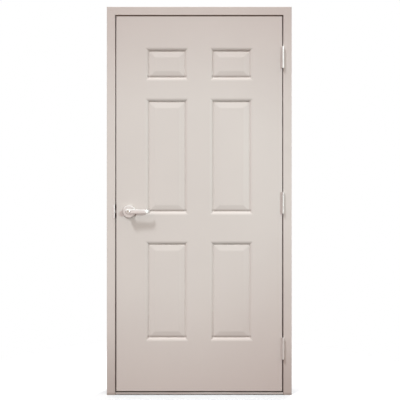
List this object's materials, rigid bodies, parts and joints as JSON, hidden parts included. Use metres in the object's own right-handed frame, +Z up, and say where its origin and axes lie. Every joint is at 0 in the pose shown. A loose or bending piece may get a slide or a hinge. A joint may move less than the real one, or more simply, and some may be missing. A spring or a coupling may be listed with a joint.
{
  "type": "panelled front door in frame",
  "caption": "Embossed panelled steel front door hung on butt hinges in a formed steel frame, with a sill and a lever lock on a round rose.",
  "frame": {"origin": "middle of the doorway on the underside of the sill, halfway through the depth of the frame", "axes": "+X along the wall towards the hinges, +Y into the wall away from the face with the hinge barrels, +Z up"},
  "size_m": [1.0024, 0.1814, 2.1045],
  "materials": {
    "frame_paint": "satin",
    "leaf_paint": "satin",
    "sill_metal": "mill",
    "plated_steel": "zinc plated",
    "seal_rubber": "matte",
    "satin_chrome": "satin",
    "plug_brass": "satin plated",
    "edge_wood": "planed",
    "core_foam": "raw"
  },
  "bodies": {
    "frame": {"hinge_jamb": "frame_paint", "strike_jamb": "frame_paint", "head_jamb": "frame_paint", "sill": "sill_metal", "sill_screws": "plated_steel", "hinge_jamb_seal": "seal_rubber", "strike_jamb_seal": "seal_rubber", "head_seal": "seal_rubber", "hinge_jamb_spacers": "plated_steel", "strike_jamb_spacers": "plated_steel", "hinge_reinforcements": "plated_steel", "strike_reinforcement": "plated_steel", "strike_plate": "satin_chrome", "strike_screws": "satin_chrome", "dust_box": "plated_steel", "top_hinge_frame_plate": "satin_chrome", "middle_hinge_frame_plate": "satin_chrome", "bottom_hinge_frame_plate": "satin_chrome", "top_hinge_pin": "satin_chrome", "middle_hinge_pin": "satin_chrome", "bottom_hinge_pin": "satin_chrome", "frame_hinge_screws": "satin_chrome"},
    "leaf": {"front_skin": "leaf_paint", "rear_skin": "leaf_paint", "hinge_stile": "edge_wood", "lock_stile": "edge_wood", "top_rail": "edge_wood", "bottom_rail": "edge_wood", "lock_block": "edge_wood", "foam_core": "core_foam", "door_sweep": "seal_rubber", "top_hinge_door_plate": "satin_chrome", "middle_hinge_door_plate": "satin_chrome", "bottom_hinge_door_plate": "satin_chrome", "door_hinge_screws": "satin_chrome", "latch_faceplate": "satin_chrome", "latch_screws": "satin_chrome", "latch_case": "plated_steel", "latch_spring": "plated_steel", "lock_chassis": "plated_steel", "front_mounting_plate": "plated_steel", "rear_mounting_plate": "plated_steel", "mounting_bolts": "plated_steel", "front_rose": "satin_chrome", "rear_rose": "satin_chrome"},
    "handle": {"front_lever": "satin_chrome", "rear_lever": "satin_chrome", "spindle": "plated_steel"},
    "latch": {"latch_bolt": "satin_chrome"},
    "plug": {"key_plug": "plug_brass"},
    "button": {"turn_button": "satin_chrome"}
  },
  "joints": [
    {"name": "leaf_swing", "type": "hinge", "parent": "frame", "child": "leaf", "pos_m": [0.45285, -0.0729, 0], "axis": [0, 0, 1], "range_deg": [0, 170]},
    {"name": "handle_turn", "type": "hinge", "parent": "leaf", "child": "handle", "pos_m": [-0.3805, -0.03815, 0.9945], "axis": [0, 1, 0], "range_deg": [0, 45], "stiffness_Nm_per_rad": 1.2, "springref_deg": -34.38},
    {"name": "latch_slide", "type": "slide", "parent": "leaf", "child": "latch", "axis": [1, 0, 0], "range_m": [0, 0.0127], "deforming": ["latch_spring"]},
    {"name": "key_turn", "type": "hinge", "parent": "handle", "child": "plug", "pos_m": [-0.3805, -0.0604, 0.9945], "axis": [0, 1, 0], "range_deg": [0, 90]},
    {"name": "button_turn", "type": "hinge", "parent": "handle", "child": "button", "pos_m": [-0.3805, -0.0159, 0.9945], "axis": [0, 1, 0], "range_deg": [0, 90]}
  ],
  "couplings": [
    {"joint": "latch_slide", "follows": "handle_turn", "m_per_rad": 0.01617}
  ]
}
